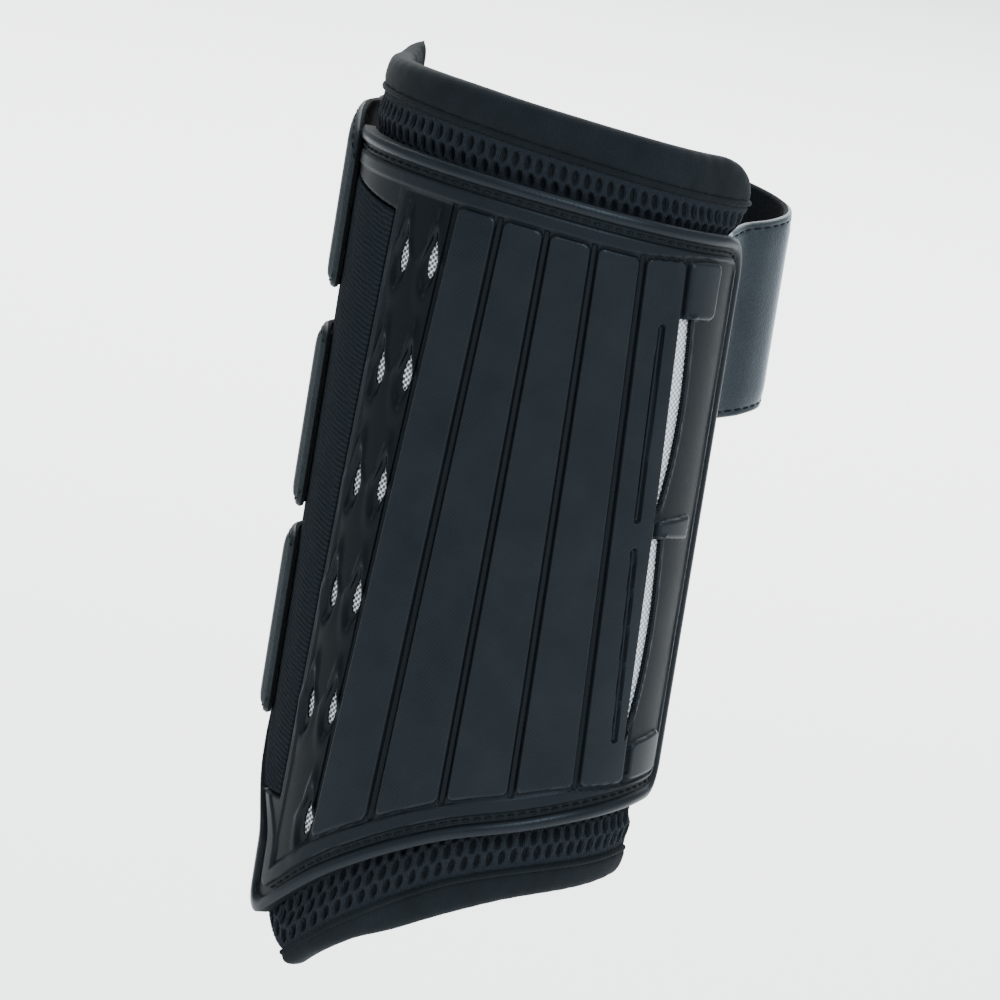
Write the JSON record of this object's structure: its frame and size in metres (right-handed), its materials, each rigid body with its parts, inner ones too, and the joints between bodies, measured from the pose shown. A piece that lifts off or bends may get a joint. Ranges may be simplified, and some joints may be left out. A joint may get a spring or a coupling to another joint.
{
  "type": "wrist splint",
  "caption": "Wrap-around forearm and wrist splint: ribbed moulded shell with vents over a soft lining, closed behind the limb by hook-and-loop straps.",
  "frame": {"origin": "on the forearm's axis, level with the middle of the splint's height", "axes": "+Z along the forearm towards the wide upper collar, -Y out of the front of the ribbed shell, +X towards the side where the straps are sewn on"},
  "size_m": [0.1186, 0.0911, 0.2455],
  "materials": {
    "shell_rubber": "satin moulded, fine twill texture",
    "silver_mesh": "woven silver mesh",
    "spacer_fabric": "open honeycomb spacer mesh",
    "lining_knit": "matte padded knit",
    "loop_pile": "brushed loop pile",
    "strap_web": "fine grained, stitched near both edges",
    "hook_plastic": "moulded hooks"
  },
  "bodies": {
    "brace": {"outer_shell": "shell_rubber", "vent_mesh": "silver_mesh", "slot_mesh": "silver_mesh", "spacer_mesh": "spacer_fabric", "liner": "lining_knit", "top_piping": "lining_knit", "bottom_piping": "lining_knit", "loop_strip": "loop_pile", "strap_tail_top": "strap_web", "strap_tail_middle": "strap_web", "strap_tail_bottom": "strap_web"},
    "top_strap": {"strap_top": "strap_web"},
    "top_tab": {"tab_top": "strap_web", "hook_patch_top": "hook_plastic"},
    "middle_strap": {"strap_middle": "strap_web"},
    "middle_tab": {"tab_middle": "strap_web", "hook_patch_middle": "hook_plastic"},
    "bottom_strap": {"strap_bottom": "strap_web"},
    "bottom_tab": {"tab_bottom": "strap_web", "hook_patch_bottom": "hook_plastic"}
  },
  "joints": [
    {"name": "swing_top", "type": "hinge", "parent": "brace", "child": "top_strap", "pos_m": [0.04728, -0.00195, 0.0565], "axis": [0, 0, -1], "range_deg": [0, 80]},
    {"name": "peel_top", "type": "hinge", "parent": "top_strap", "child": "top_tab", "pos_m": [-0.04896, 0.0348, 0.076], "axis": [0, 0, -1], "range_deg": [0, 70]},
    {"name": "swing_middle", "type": "hinge", "parent": "brace", "child": "middle_strap", "pos_m": [0.04728, -0.00195, 0.0068], "axis": [0, 0, -1], "range_deg": [0, 80]},
    {"name": "peel_middle", "type": "hinge", "parent": "middle_strap", "child": "middle_tab", "pos_m": [-0.04904, 0.03105, 0.0165], "axis": [0, 0, -1], "range_deg": [0, 70]},
    {"name": "swing_bottom", "type": "hinge", "parent": "brace", "child": "bottom_strap", "pos_m": [0.04728, -0.00195, -0.0395], "axis": [0, 0, -1], "range_deg": [0, 80]},
    {"name": "peel_bottom", "type": "hinge", "parent": "bottom_strap", "child": "bottom_tab", "pos_m": [-0.04904, 0.03105, -0.039], "axis": [0, 0, -1], "range_deg": [0, 70]}
  ],
  "couplings": [
    {"joint": "peel_top", "follows": "swing_top", "ratio": 0.8},
    {"joint": "peel_middle", "follows": "swing_middle", "ratio": 0.8},
    {"joint": "peel_bottom", "follows": "swing_bottom", "ratio": 0.8}
  ]
}
